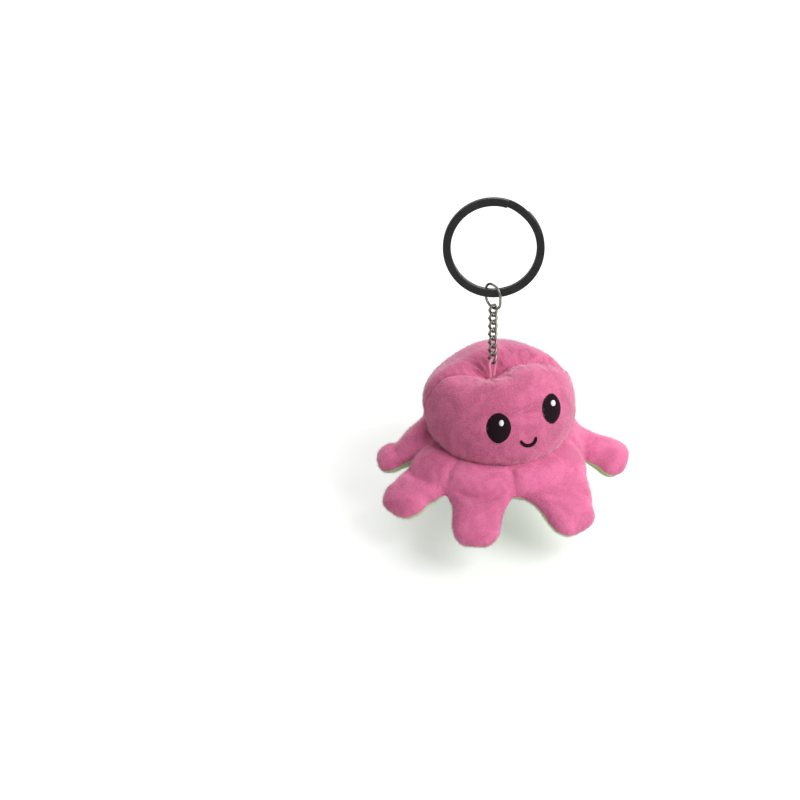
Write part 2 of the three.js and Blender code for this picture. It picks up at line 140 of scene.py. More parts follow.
def seen_ray(tree):
    """1 for the rays that show a background: straight to the camera or by way of metal."""
    path = add_node(tree, "ShaderNodeLightPath").outputs
    seen = add_node(tree, "ShaderNodeMath", operation="MAXIMUM",
                    links={0: path["Is Camera Ray"], 1: path["Is Glossy Ray"]})
    seen = add_node(tree, "ShaderNodeMath", operation="MAXIMUM",
                    links={0: seen.outputs[0], 1: path["Is Transmission Ray"]})
    return seen.outputs[0]


# White card: matt, lifted to white where it is seen, and open from below, so that views from
# under the table show the toy.
card, tree = new_material("white_card")
matt = add_node(tree, "ShaderNodeBsdfDiffuse", {"Color": linear("#dcdcdc")})
lift = add_node(tree, "ShaderNodeMath", {1: 0.36}, {0: seen_ray(tree)}, operation="MULTIPLY")
glow = add_node(tree, "ShaderNodeEmission", {"Color": (1, 1, 1, 1)}, {"Strength": lift.outputs[0]})
lit = add_node(tree, "ShaderNodeAddShader", links={0: matt.outputs[0], 1: glow.outputs[0]})
clear = add_node(tree, "ShaderNodeBsdfTransparent")
under = add_node(tree, "ShaderNodeNewGeometry").outputs["Backfacing"]
both = add_node(tree, "ShaderNodeMixShader",
                links={0: under, 1: lit.outputs[0], 2: clear.outputs[0]})
add_node(tree, "ShaderNodeOutputMaterial", links={"Surface": both.outputs[0]})

cad_low, cad_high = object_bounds()
table_z = cad_low.z - 0.0125
table_half = 3
corners = ((-table_half, -table_half, table_z), (table_half, -table_half, table_z),
           (table_half, table_half, table_z), (-table_half, table_half, table_z))
table_mesh = bpy.data.meshes.new("table")
table_mesh.from_pydata(corners, [], [(0, 1, 2, 3)])
table_mesh.materials.append(card)
table = stand("table", table_mesh)

world = bpy.data.worlds.new("white_surround")
bpy.context.scene.world = world
world.use_nodes = True
tree = world.node_tree
tree.nodes.clear()
soft = add_node(tree, "ShaderNodeBackground", {"Color": (1, 1, 1, 1), "Strength": 0.4})
white = add_node(tree, "ShaderNodeBackground", {"Color": (1, 1, 1, 1), "Strength": 1})
shown = add_node(tree, "ShaderNodeMixShader",
                 links={0: seen_ray(tree), 1: soft.outputs[0], 2: white.outputs[0]})
add_node(tree, "ShaderNodeOutputWorld", links={"Surface": shown.outputs[0]})

for name, place, size, power in (
    ("key_lamp", (0.26, -0.43, 0.38), 0.42, 4.2),
    ("back_lamp", (0.34, 0.46, 0.32), 0.4, 3.4),
):
    lamp = bpy.data.lights.new(name, "AREA")
    lamp.size = size
    lamp.energy = power
    holder = stand(name, lamp)
    holder.location = place
    look_back(holder, Vector(place) - head_centre)

bpy.context.scene.view_settings.view_transform = "Standard"


# Split ring
# Two turns of flat spring wire, rolled with rounded edges and plated black. One step takes the
# wire from the front turn to the back turn. It leans back, as it is held.
def metal(name, colour, stain, roughness, grain):
    """Plated wire. Stain darkens it in patches of 2 mm, and grain is the polish's roughness."""
    material, tree = new_material(name)
    place = add_node(tree, "ShaderNodeTexCoord").outputs["Object"]
    patches = add_node(tree, "ShaderNodeTexNoise", {"Scale": 500, "Detail": 4}, {"Vector": place})
    # Sockets 6 and 7 of a colour mix are its two colours, and its output 2 is what they make
    mix = add_node(tree, "ShaderNodeMix", {6: linear(colour), 7: linear(stain)},
                   {0: patches.outputs[0]}, data_type="RGBA")
    # Polishing lines, 0.08 mm apart in real wire and drawn at 0.15 mm so that they show
    lines = add_node(tree, "ShaderNodeTexNoise", {"Scale": 6500, "Detail": 2}, {"Vector": place})
    dull = add_node(tree, "ShaderNodeMapRange",
                    {"To Min": roughness - grain, "To Max": roughness + grain},
                    {"Value": lines.outputs[0]})
    bump = add_node(tree, "ShaderNodeBump", {"Strength": 0.15, "Distance": 0.00003},
                    {"Height": lines.outputs[0]})
    shader = add_node(tree, "ShaderNodeBsdfPrincipled", {"Metallic": 1},
                      {"Base Color": mix.outputs[2], "Roughness": dull.outputs[0],
                       "Normal": bump.outputs[0]})
    add_node(tree, "ShaderNodeOutputMaterial", links={"Surface": shader.outputs[0]})
    return material


def add_piece(name, mesh, material, body, *nodes, slot=None):
    """A piece in the scene that rides on a body and stands for CAD nodes."""
    mesh.materials.clear()
    mesh.materials.append(material)
    piece = stand(name, mesh)
    mesh.shade_smooth()
    if body:
        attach(piece, body)
    if nodes:
        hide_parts(*nodes)
    return piece


# Black nickel: dark, hard and glossy, with fine polishing lines
black_nickel = metal("black_nickel_plate", "#3a3a3b", "#262627", 0.28, 0.08)

# The wire is wide across the ring and thin along its axis
ring_middle, ring_width, ring_wire, ring_gap = 0.0138, 0.0024, 0.0009, 0.00045
ring_corner = 0.00028
ring_step = math.radians(26)
ring_step_place = math.radians(60)
ring_lean = math.radians(20)
ring_facing = math.radians(-25)
grip = Vector((0, 0, -(2 * ring_middle - ring_width / 2) * math.cos(ring_lean)))


def ring_mesh():
    """The wire's rounded section carried along both turns, with its two cut ends closed."""
    sections = 420
    angles = np.linspace(ring_step / 2, 4 * math.pi - ring_step / 2, sections)
    across = np.clip((angles - (2 * math.pi - ring_step / 2)) / ring_step, 0, 1)
    across = across * across * (3 - 2 * across) - 0.5
    section = []
    for side, end, start in ((1, 1, 0), (-1, 1, 90), (-1, -1, 180), (1, -1, 270)):
        for turn in (0, 30, 60, 90):
            at = math.radians(start + turn)
            section.append((side * (ring_wire / 2 - ring_corner) + ring_corner * math.cos(at),
                            end * (ring_width / 2 - ring_corner) + ring_corner * math.sin(at)))
    mesh = bmesh.new()
    rows = []
    for angle, side in zip(angles + ring_step_place, across):
        row = []
        for axial, radial in section:
            r = ring_middle + radial
            row.append(mesh.verts.new((r * math.cos(angle), side * (ring_wire + ring_gap) + axial,
                                       r * math.sin(angle))))
        rows.append(row)
    for low, high in zip(rows, rows[1:]):
        for i in range(len(section)):
            j = (i + 1) % len(section)
            mesh.faces.new((low[i], low[j], high[j], high[i]))
    mesh.faces.new(rows[0][::-1])
    mesh.faces.new(rows[-1])
    bmesh.ops.recalc_face_normals(mesh, faces=mesh.faces)
    ring = bpy.data.meshes.new("split_ring_wire")
    mesh.to_mesh(ring)
    mesh.free()
    return ring


ring = ring_mesh()
ring.transform(Matrix.Translation((0, 0, ring_middle)))
ring.transform(Matrix.Translation(grip) @ Matrix.Rotation(ring_facing, 4, "Z")
               @ Matrix.Rotation(-ring_lean, 4, "X"))
add_piece("split_ring_wire", ring, black_nickel, "ring", "split_ring", slot="gunmetal_steel")


# Chain
# A jump ring and seven curb links of round wire in old silver plate, dark in the hollows. Each
# is bent to an oval and closed on its neighbours, and the links are twisted until their two ends
# stand square to each other.
def new_tree(name, made, inputs):
    """An empty geometry nodes tree with named inputs, and the sockets that bring them."""
    tree = bpy.data.node_groups.new(name, "GeometryNodeTree")
    for word, kind in inputs.items():
        tree.interface.new_socket(word, in_out="INPUT", socket_type=f"NodeSocket{kind}")
    tree.interface.new_socket(made, in_out="OUTPUT", socket_type="NodeSocketGeometry")
    return tree, add_node(tree, "NodeGroupInput").outputs


def wire_tree():
    """Geometry nodes that sweep round wire along the piece's own path."""
    tree, given = new_tree("round_wire", "Wire", {
        "Path": "Geometry", "Wire Diameter": "Float", "Sides": "Int", "Material": "Material"})
    radius = add_node(tree, "ShaderNodeMath", {1: 0.5}, {0: given["Wire Diameter"]},
                      operation="MULTIPLY")
    profile = add_node(tree, "GeometryNodeCurvePrimitiveCircle",
                       links={"Resolution": given["Sides"], "Radius": radius.outputs[0]})
    swept = add_node(tree, "GeometryNodeCurveToMesh", {"Fill Caps": True},
                     {"Curve": given["Path"], "Profile Curve": profile.outputs[0]})
    real = add_node(tree, "GeometryNodeRealizeInstances", links={0: swept.outputs[0]})
    done = add_node(tree, "GeometryNodeSetMaterial",
                    links={"Geometry": real.outputs[0], "Material": given["Material"]})
    add_node(tree, "NodeGroupOutput", links={0: done.outputs[0]})
    return tree


def grown(source, tree, values):
    """The plain mesh that a geometry nodes tree makes on an object, which is then removed."""
    modifier = source.modifiers.new("nodes", "NODES")
    modifier.node_group = tree
    for socket in tree.interface.items_tree:
        if socket.item_type == "SOCKET" and socket.in_out == "INPUT" and socket.name in values:
            modifier[socket.identifier] = values[socket.name]
    bpy.context.view_layer.update()
    seen = source.evaluated_get(bpy.context.evaluated_depsgraph_get())
    mesh = bpy.data.meshes.new_from_object(seen)
    bpy.data.objects.remove(source)
    return mesh


def path_object(lines, closed=False):
    """A curve through each line of points, for the wire to follow."""
    curve = bpy.data.curves.new("path", "CURVE")
    curve.dimensions = "3D"
    for line in lines:
        spline = curve.splines.new("POLY")
        spline.points.add(len(line) - 1)
        for point, place in zip(spline.points, line):
            point.co = (*place, 1)
        spline.use_cyclic_u = closed
    return stand("path", curve)


def oval_path(half_width, length, twist, turn, centre):
    """An upright oval whose two ends are twisted apart, turned about Z and put in place."""
    steps = 96
    straight = length / 2 - half_width
    arc = math.pi * half_width
    total = 2 * arc + 4 * straight
    points = []
    for k in range(steps):
        along = total * k / steps
        if along < straight or along >= total - straight:
            x, z = half_width, along if along < straight else along - total
        elif along < straight + arc:
            bend = (along - straight) / half_width
            x, z = half_width * math.cos(bend), straight + half_width * math.sin(bend)
        elif along < 3 * straight + arc:
            x, z = -half_width, 2 * straight + arc - along
        else:
            bend = math.pi + (along - 3 * straight - arc) / half_width
            x, z = half_width * math.cos(bend), -straight + half_width * math.sin(bend)
        around = turn + twist * max(-1, min(1, z / straight))
        points.append((x * math.cos(around), x * math.sin(around), centre + z))
    return points


# Silver plate that has tarnished: a dark greenish grey, brighter where it rubs
old_silver = metal("tarnished_silver_plate", "#8f8d83", "#45433b", 0.3, 0.1)

round_wire = wire_tree()
link_twist = math.radians(45)
chain_wire = {"Wire Diameter": 0.0008, "Sides": 14, "Material": old_silver}
# The body that each rides on, the wire's half width and length at its middle, twist and turn
wires = {"jump_ring": ("jump_ring", 0.003, 0.0082, 0, ring_facing - link_twist)}
for i in range(1, 8):
    wires[f"chain_link_{i}"] = (f"link_{i}", 0.0011, 0.00385, link_twist, ring_facing)
for node, (body, half_width, length, twist, turn) in wires.items():
    low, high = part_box(node)
    oval = oval_path(half_width, length, twist, turn, (low.z + high.z) / 2)
    mesh = grown(path_object([oval], closed=True), round_wire, chain_wire)
    add_piece(f"{node}_wire", mesh, old_silver, body, node, slot="pewter_steel")


# Hanging loop
# A folded strip of the pink fabric, threaded through the last link of the chain. Its two legs
# are sewn into the crown seam when the head's panels are joined.
def minky(name, colour, shade, tip):
    """Short cut pile. Where it lies another way, in patches of 7 mm and in brush marks of
    2 mm, it looks darker. The tips of its tufts catch the light, shown as painted highlights:
    pale specks of the tip colour. The tufts cling together in clumps of 0.25 mm, which are drawn
    at 0.4 mm."""
    material, tree = new_material(name)
    place = add_node(tree, "ShaderNodeTexCoord").outputs["Object"]
    nap = add_node(tree, "ShaderNodeTexNoise",
                   {"Scale": 140, "Detail": 3, "Roughness": 0.55, "Distortion": 0.8},
                   {"Vector": place})
    lie = add_node(tree, "ShaderNodeMapRange", {"From Min": 0.34, "From Max": 0.66},
                   {"Value": nap.outputs[0]}, interpolation_type="SMOOTHSTEP")
    along = add_node(tree, "ShaderNodeMapping", {"Scale": (1, 1, 0.45), "Rotation": (0.3, 0.5, 0)},
                     {"Vector": place})
    marks = add_node(tree, "ShaderNodeTexNoise", {"Scale": 480, "Detail": 2, "Distortion": 1.2},
                     {"Vector": along.outputs[0]})
    brushed = add_node(tree, "ShaderNodeMapRange",
                       {"From Min": 0.38, "From Max": 0.62, "To Min": -0.16, "To Max": 0.16},
                       {"Value": marks.outputs[0]})
    lie = add_node(tree, "ShaderNodeMath", operation="ADD", use_clamp=True,
                   links={0: lie.outputs[0], 1: brushed.outputs[0]})
    body = add_node(tree, "ShaderNodeMix", {6: linear(shade), 7: linear(colour)},
                    {0: lie.outputs[0]}, data_type="RGBA")
    tufts = add_node(tree, "ShaderNodeTexNoise", {"Scale": 2600, "Detail": 2, "Roughness": 0.7},
                     {"Vector": place})
    # Painted highlights: specks of the pale tip colour where the tufts' tips catch the light
    ends = add_node(tree, "ShaderNodeMapRange",
                    {"From Min": 0.45, "From Max": 0.8, "To Min": 0, "To Max": 0.15},
                    {"Value": tufts.outputs[0]})
    pile = add_node(tree, "ShaderNodeMix", {7: linear(tip)},
                    {0: ends.outputs[0], 6: body.outputs[2]}, data_type="RGBA")
    waves = add_node(tree, "ShaderNodeTexNoise", {"Scale": 420, "Detail": 2}, {"Vector": place})
    ripple = add_node(tree, "ShaderNodeBump", {"Strength": 0.2, "Distance": 0.0005},
                      {"Height": waves.outputs[0]})
    bump = add_node(tree, "ShaderNodeBump", {"Strength": 0.4, "Distance": 0.00015},
                    {"Height": tufts.outputs[0], "Normal": ripple.outputs[0]})
    shader = add_node(tree, "ShaderNodeBsdfPrincipled",
                      {"Roughness": 0.92, "IOR": 1.45, "Specular IOR Level": 0.15,
                       "Sheen Weight": 1, "Sheen Roughness": 0.38, "Sheen Tint": linear(tip)},
                      {"Base Color": pile.outputs[2], "Normal": bump.outputs[0]})
    add_node(tree, "ShaderNodeOutputMaterial", links={"Surface": shader.outputs[0]})
    return material


# Pink minky: a warm pink that turns to mauve where the pile lies away from the light
# The pale pink of the pile's sheen and of the highlights painted on its tufts' tips
pink_shine = "#fbdce8"
pink_pile = minky("pink_cut_pile", "#d0668f", "#b9567c", pink_shine)
# The loop's pile is worn short, so that its paler backing shows through
pink_edge = minky("pink_worn_pile", "#e59bb6", "#d583a3", pink_shine)

loop_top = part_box("hanging_loop")[1].z - 0.0004
loop_cord, loop_half, loop_leg = 0.00095, 0.0013, 0.0046
loop_turn = ring_facing + link_twist
loop_steps = 40
loop_points = []
for k in range(loop_steps + 1):
    along = k / loop_steps * (2 * loop_leg + math.pi * loop_half)
    if along < loop_leg:
        across, down = -loop_half, loop_leg - along
    elif along > loop_leg + math.pi * loop_half:
        across, down = loop_half, along - loop_leg - math.pi * loop_half
    else:
        bend = math.pi - (along - loop_leg) / loop_half
        across, down = loop_half * math.cos(bend), -loop_half * math.sin(bend)
    # The legs close towards the seam that they are sewn into
    across *= 1 - 0.45 * max(0, down / loop_leg)
    loop_points.append((across * math.cos(loop_turn), across * math.sin(loop_turn),
                        loop_top - loop_half - down))
strip = grown(path_object([loop_points]), round_wire,
              {"Wire Diameter": loop_cord, "Sides": 12, "Material": pink_edge})
add_piece("fabric_loop", strip, pink_edge, "toy", "hanging_loop", slot="pink_minky")


# Head
# Two panels of pink minky, sewn together over the crown from side to side and stuffed. The
# stuffing swells them, the loop's seam holds the middle of the crown down in a dimple, and the
# seam's ends stand out as corners.
def numbers(items, name):
    """A vector of each point or face of a mesh, as the rows of an array."""
    found = np.empty(len(items) * 3)
    items.foreach_get(name, found)
    return found.reshape(-1, 3)


def put(mesh, points):
    """Moves the mesh's points."""
    mesh.vertices.foreach_set("co", points.ravel())
    mesh.update()


def stuffed(piece, sewn, pressure, cap):
    """Cloth swollen by its filling. The points that are sewn stay, the fabric is larger than
    its form by growth, so that it wrinkles, and no point moves more than cap. The cloth is
    simulated forty times larger, because the solver's masses suit furniture."""
    scale, growth, frames = 40, 0.04, 20
    rest = numbers(piece.data.vertices, "co")
    piece.data.vertices.foreach_set("co", (rest * scale).ravel())
    held = piece.vertex_groups.new(name="sewn")
    held.add([int(i) for i in np.nonzero(sewn)[0]], 1, "REPLACE")
    cloth = piece.modifiers.new("filling", "CLOTH")
    cloth.settings.vertex_group_mass = "sewn"
    cloth.settings.quality = 4
    cloth.settings.use_pressure = True
    cloth.settings.uniform_pressure_force = pressure
    cloth.settings.shrink_min = -growth
    cloth.settings.bending_stiffness = 2
    cloth.settings.effector_weights.gravity = 0
    cloth.collision_settings.use_collision = False
    cloth.point_cache.frame_start, cloth.point_cache.frame_end = 1, frames
    for moment in range(1, frames + 1):
        bpy.context.scene.frame_set(moment)
    seen = piece.evaluated_get(bpy.context.evaluated_depsgraph_get())
    shift = numbers(seen.data.vertices, "co") / scale - rest
    length = np.linalg.norm(shift, axis=1, keepdims=True) + 1e-12
    shift *= np.tanh(length / cap) * cap / length
    piece.modifiers.remove(cloth)
    piece.vertex_groups.clear()
    bpy.context.scene.frame_set(1)
    put(piece.data, rest + shift)


def smoothed(piece):
    """The piece's mesh, subdivided once. The piece is removed."""
    modifier = piece.modifiers.new("smooth", "SUBSURF")
    modifier.levels = modifier.render_levels = 1
    seen = piece.evaluated_get(bpy.context.evaluated_depsgraph_get())
    mesh = bpy.data.meshes.new_from_object(seen)
    bpy.data.objects.remove(piece)
    return mesh


def smoothstep(value, low, high):
    """0 up to low and 1 from high on, with a soft rise between them."""
    share = np.clip((value - low) / (high - low), 0, 1)
    return share * share * (3 - 2 * share)


def hump(value, width):
    """1 where the value is 0, fading away over a width to both sides."""
    return np.exp(-((value / width) ** 2))


def panel(name, mesh, faces, normals):
    """Some faces of a mesh as a mesh of their own, with the whole one's shading."""
    used = {}
    corners = []
    for face in faces:
        corners.append([used.setdefault(v, len(used)) for v in mesh.polygons[face].vertices])
    points = numbers(mesh.vertices, "co")
    order = list(used)
    part = bpy.data.meshes.new(name)
    part.from_pydata([tuple(points[v]) for v in order], [], corners)
    part.shade_smooth()
    part.normals_split_custom_set_from_vertices([tuple(normals[v]) for v in order])
    return part


def pile_tree():
    """Geometry nodes that stand the pile's tufts on the skin they are given, leaning about. None
    stand where the skin is pressed flat."""
    tree, given = new_tree("standing_pile", "Pile", {
        "Skin": "Geometry", "Tufts Per Square Metre": "Float", "Tuft Length": "Float",
        "Tuft Width": "Float", "Lean": "Float", "Seed": "Int", "Material": "Material"})
    pressed = add_node(tree, "GeometryNodeInputNamedAttribute", {"Name": "pressed"})
    free = add_node(tree, "ShaderNodeMath", {0: 1}, {1: pressed.outputs[0]}, operation="SUBTRACT")
    many = add_node(tree, "ShaderNodeMath", operation="MULTIPLY",
                    links={0: free.outputs[0], 1: given["Tufts Per Square Metre"]})
    spread = add_node(tree, "GeometryNodeDistributePointsOnFaces", links={
        "Mesh": given["Skin"], "Density": many.outputs[0], "Seed": given["Seed"]})
    radius = add_node(tree, "ShaderNodeMath", {1: 0.5}, {0: given["Tuft Width"]},
                      operation="MULTIPLY")
    tuft = add_node(tree, "GeometryNodeMeshCone", {"Vertices": 3, "Radius Top": 0},
                    {"Radius Bottom": radius.outputs[0], "Depth": given["Tuft Length"]},
                    fill_type="NONE")
    size = add_node(tree, "FunctionNodeRandomValue", {2: 0.55, 3: 1.1}, {"Seed": given["Seed"]})
    standing = add_node(tree, "GeometryNodeInstanceOnPoints", links={
        "Points": spread.outputs["Points"], "Instance": tuft.outputs["Mesh"],
        "Rotation": spread.outputs["Rotation"], "Scale": size.outputs[1]})
    back = add_node(tree, "ShaderNodeMath", {1: -1}, {0: given["Lean"]}, operation="MULTIPLY")
    least = add_node(tree, "ShaderNodeCombineXYZ", links={0: back.outputs[0], 1: back.outputs[0]})
    most = add_node(tree, "ShaderNodeCombineXYZ", links={0: given["Lean"], 1: given["Lean"]})
    tilt = add_node(tree, "FunctionNodeRandomValue", data_type="FLOAT_VECTOR", links={
        0: least.outputs[0], 1: most.outputs[0], "Seed": given["Seed"]})
    leaning = add_node(tree, "GeometryNodeRotateInstances", links={
        "Instances": standing.outputs[0], "Rotation": tilt.outputs[0]})
    real = add_node(tree, "GeometryNodeRealizeInstances", links={0: leaning.outputs[0]})
    done = add_node(tree, "GeometryNodeSetMaterial",
                    links={"Geometry": real.outputs[0], "Material": given["Material"]})
    add_node(tree, "NodeGroupOutput", links={0: done.outputs[0]})
    return tree


standing_pile = pile_tree()

# The pile's ends are painted paler than its roots, as painted light: the light they let
# through and the paler rims that it shows
pink_painted_pale_tips = minky("pink_pile_ends_painted_light", "#ee9fbd", "#dd85a7", pink_shine)


def pile_on(piece, body, slot, tips, seed):
    """The standing pile of a piece, as a piece of its own. Tufts are 0.03 mm wide and 12 to
    the square millimetre in real minky, and are drawn fewer and three times as wide."""
    mesh = grown(stand("skin", piece.data.copy()), standing_pile, {
        "Tufts Per Square Metre": 6e6, "Tuft Length": 0.0008, "Tuft Width": 0.00008,
        "Lean": 0.85, "Seed": seed, "Material": tips})
    return add_piece(f"{piece.name}_pile", mesh, tips, body, slot=slot)


# The head's size above and below its middle, where the neck is cut, and how far it stands to
# the toy's left
head_radius, crown_height, chin_depth, neck_drop = 0.022, 0.0142, 0.012, 0.0108
head_shift = 0.0025


def seam_stray(x):
    """How far the seam strays to the back of the middle, as it is sewn by hand."""
    return 0.0006 * np.sin(x / 0.0045)


def head_form():
    """The head before it is stuffed, open at the neck."""
    mesh = bmesh.new()
    bmesh.ops.create_icosphere(mesh, subdivisions=6, radius=1)
    data = bpy.data.meshes.new("head_form")
    mesh.to_mesh(data)
    mesh.free()
    way = numbers(data.vertices, "co")
    flat = np.hypot(way[:, 0], way[:, 1])
    lift = np.abs(way[:, 2])
    top = way[:, 2] > 0
    power = np.where(top, 2.5, 4)
    height = np.where(top, crown_height, chin_depth)
    size = ((flat / head_radius) ** power + (lift / height) ** power) ** (-1 / power)
    x, y, z = (way * size[:, None]).T
    x += head_shift
    # The back panel is flatter at its shoulders than the front one, and lower at its right
    shoulder_drop = 0.0009 * smoothstep(np.abs(x - head_shift), 0.005, 0.018)
    z -= shoulder_drop * smoothstep(y, -0.004, 0.012) * top
    right_drop = 0.0021 * smoothstep(y, 0.003, 0.015)
    z -= right_drop * hump(x + 0.006, 0.009) * top
    # The valley along the seam, which fades to the toy's right, and the dimple under the loop
    valley_depth, dimple_depth = 0.0019, 0.0031
    crown = smoothstep(way[:, 2], 0.1, 0.5) * (0.1 + 0.9 * smoothstep(x, -0.011, 0.001))
    z -= crown * valley_depth * hump(y - seam_stray(x), 0.0026)
    z -= dimple_depth * top * np.exp(-(((x / 0.0058) ** 2) + (y / 0.0046) ** 2))
    put(data, np.stack([x, y, z + head_centre.z], axis=1))
    cut = bmesh.new()
    cut.from_mesh(data)
    low = [v for v in cut.verts if v.co.z < head_centre.z - neck_drop]
    bmesh.ops.delete(cut, geom=low, context="VERTS")
    cut.to_mesh(data)
    cut.free()
    return data


head_whole = stand("head_whole", head_form())
points = numbers(head_whole.data.vertices, "co")
above = points[:, 2] - head_centre.z
on_seam = np.abs(points[:, 1] - seam_stray(points[:, 0])) < 0.0005
sewn = (above < 0.0008 - neck_drop) | (on_seam & (above > 0.002) & (points[:, 0] > -0.006))
stuffed(head_whole, sewn, pressure=3, cap=0.0010)
head_skin = smoothed(head_whole)

# Edges all along the seam, so that the two panels can be told apart
cut = bmesh.new()
cut.from_mesh(head_skin)
bmesh.ops.bisect_plane(cut, geom=[*cut.verts, *cut.edges, *cut.faces], dist=1e-7,
                       plane_co=(0, 0, 0), plane_no=(0, 1, 0))
cut.to_mesh(head_skin)
cut.free()
points = numbers(head_skin.vertices, "co")
out = numbers(head_skin.vertices, "normal")
off = np.abs(points[:, 1])

# The corners at the seam's two ends
ends = (np.abs(points[:, 0] - head_shift) / head_radius) ** 8
ends *= np.exp(-((off / 0.0021) ** 2) - ((points[:, 2] - head_centre.z - 0.003) / 0.0032) ** 2)
left_corner, right_corner = 0.0019, -0.0004
points[:, 0] += np.where(points[:, 0] > 0, left_corner, right_corner) * ends
# Gathers round the loop, where the dimple draws the fabric in
around = np.arctan2(points[:, 1], points[:, 0])
from_loop = np.hypot(points[:, 0], points[:, 1]) + 0.02 * (points[:, 2] < head_centre.z)
gathers = np.sin(9 * around + 1.5 * np.sin(3 * around)) * hump(from_loop - 0.0042, 0.0022)
# The seam's groove, and beside it the fabric that its stitches draw in
stitch_length = 0.0024
pull = 0.5 + 0.5 * np.sin(points[:, 0] / stitch_length * 2 * math.pi)
depth = 0.00042 * hump(off, 0.00045)
depth += 0.00016 * pull * hump(off, 0.0018) * (1 - hump(off, 0.0006))
depth += 0.00028 * gathers
put(head_skin, points - out * depth[:, None])
middle_y = numbers(head_skin.polygons, "center")[:, 1]

# The seam lies further back over the toy's right side, where the front panel is pulled over
points = numbers(head_skin.vertices, "co")
pulled = smoothstep(head_shift - points[:, 0], 0.003, 0.018)
pulled *= smoothstep(points[:, 2] - head_centre.z, -0.006, 0.004)
points[:, 1] += 0.0038 * pulled * hump(points[:, 1], 0.009)
put(head_skin, points)
normals = numbers(head_skin.vertices, "normal")

# Where the photograph shows the face, in its pixels, and its sizes in metres
eye_pixels, eye_sizes = ((498.6, 428), (551.4, 408.6)), ((0.0076, 0.0086), (0.0059, 0.0086))
glint_pixels, smile_pixel = ((501.3, 423), (552.0, 403.6)), (528, 437.8)
smile_size = (0.0052, 0.0046)

for name, faces, nodes in (
    ("head_front_panel", np.nonzero(middle_y < 0)[0], ("pink_head_front", "head_fill")),
    ("head_back_panel", np.nonzero(middle_y >= 0)[0], ("pink_head_back",)),
):
    part = panel(name, head_skin, faces, normals)
    if name == "head_front_panel":
        # The face's stitches press the pile flat
        seen = numbers(part.vertices, "co") - np.array(aim)
        seen = np.stack([seen @ np.array(picture_right), -seen @ np.array(picture_up)], axis=1)
        pressed = np.zeros(len(seen))
        for place, (width, height) in zip((*eye_pixels, smile_pixel), (*eye_sizes, smile_size)):
            off = seen - (np.array(place) - middle_pixel) * pixel
            pressed[np.hypot(off[:, 0] / (width / 2), off[:, 1] / (height / 2)) < 1] = 1
        part.attributes.new("pressed", "FLOAT", "POINT").data.foreach_set("value", pressed)
    piece = add_piece(name, part, pink_pile, "toy", *nodes, slot="pink_minky")
    pile_on(piece, "toy", "pink_minky", pink_painted_pale_tips, len(nodes))


# Skirt and arms
# One star of pink minky over one of green, sewn together round the edge, turned and stuffed.
# Each arm bends where it leaves the skirt, so the star is divided between the arms.
hinge_radius, seam_z = 0.027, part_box("arm_1_fill")[1].z - 0.0017
collar_radius, mouth_radius = 0.0215, 0.0145
star_spacing = 0.0009

# For each arm, how far it is turned off an even spacing, how far it droops and its reach
arm_turns = (-1, 3, 7, 12, 1, -11, 15, 0)
arm_bearings = [math.radians(45 * k - 122 + arm_turns[k]) for k in range(8)]
arm_droops = [math.radians(a) for a in (33, 33, 15, 40, 34, 40, 28, 31)]
arm_reaches = (0.0429, 0.0443, 0.0430, 0.0390, 0.0420, 0.0390, 0.0350, 0.0408)
# How broad its right and left halves are, along it and once more at its root: 1 is 8 mm there
arm_breadths = ((1.08, 1.12), (1.1, 1.3), (0.97, 1), (0.92, 0.92),
                (1, 1), (0.92, 0.78), (0.85, 0.85), (0.92, 1.22))
root_breadths = ((1, 1), (1, 1.34), (0.72, 1), (1, 1),
                 (1, 1), (1, 0.7), (0.8, 0.9), (0.84, 1))

# Each notch between two arms, by how far out it is and how far it is off the middle
notch_radii = (0.0288, 0.0277, 0.0300, 0.0283, 0.0283, 0.0283, 0.0228, 0.0243)
notch_turns = (0, -1, 14, 0, 0, 0, 6, -1)
notch_bearings = [(arm_bearings[k - 1] - 2 * math.pi * (k == 0) + arm_bearings[k]) / 2
                  + math.radians(notch_turns[k]) for k in range(8)]


def turned(x, y, bearing):
    """A flat point, turned round the star's middle."""
    sine, cosine = math.sin(bearing), math.cos(bearing)
    return (x * cosine - y * sine, x * sine + y * cosine)


def through(knots, spacing):
    """A closed smooth line through the knots, with points about a spacing apart."""
    knots = np.array(knots)
    line = []
    for i in range(len(knots)):
        a, b, c, d = (knots[(i + k) % len(knots)] for k in (-1, 0, 1, 2))
        for t in np.linspace(0, 1, 24, endpoint=False):
            line.append(0.5 * (2 * b + (c - a) * t + (2 * a - 5 * b + 4 * c - d) * t * t
                               + (3 * b - a - 3 * c + d) * t ** 3))
    line = np.array(line)
    step = np.linalg.norm(np.roll(line, -1, axis=0) - line, axis=1)
    along = np.concatenate([[0], np.cumsum(step)])
    line = np.vstack([line, line[:1]])
    at = np.linspace(0, along[-1], int(along[-1] / spacing), endpoint=False)
    return np.stack([np.interp(at, along, line[:, k]) for k in (0, 1)], axis=1)


def tree_of(points):
    """Flat points, for finding the nearest of them."""
    tree = kdtree.KDTree(len(points))
    for i, (x, y) in enumerate(points):
        tree.insert((x, y, 0), i)
    tree.balance()
    return tree


# The star's edge: a notch, then the arm's right half out to its tip and its left half back.
# Each half is full at the root and round at the tip.
knots = []
for k, bearing in enumerate(arm_bearings):
    reach = arm_reaches[k]
    knots.append(turned(notch_radii[k], 0, notch_bearings[k]))
    for way, breadth, root in zip((1, -1), arm_breadths[k], root_breadths[k]):
        rounding = min(1, breadth + 0.08)
        shoulder = reach - 0.0093 * rounding
        half = ((min(0.0298, shoulder + 0.0001), 0.0080 * root),
                (shoulder, 0.0073 * (0.4 + 0.6 * root)), (reach - 0.0058 * rounding, 0.0070),
                (reach - 0.0027 * rounding, 0.0058), (reach - 0.0006 * rounding, 0.0031))
        knots += [turned(x, -y * way * breadth, bearing) for x, y in half[::way]]
star_edge = through(knots, star_spacing)


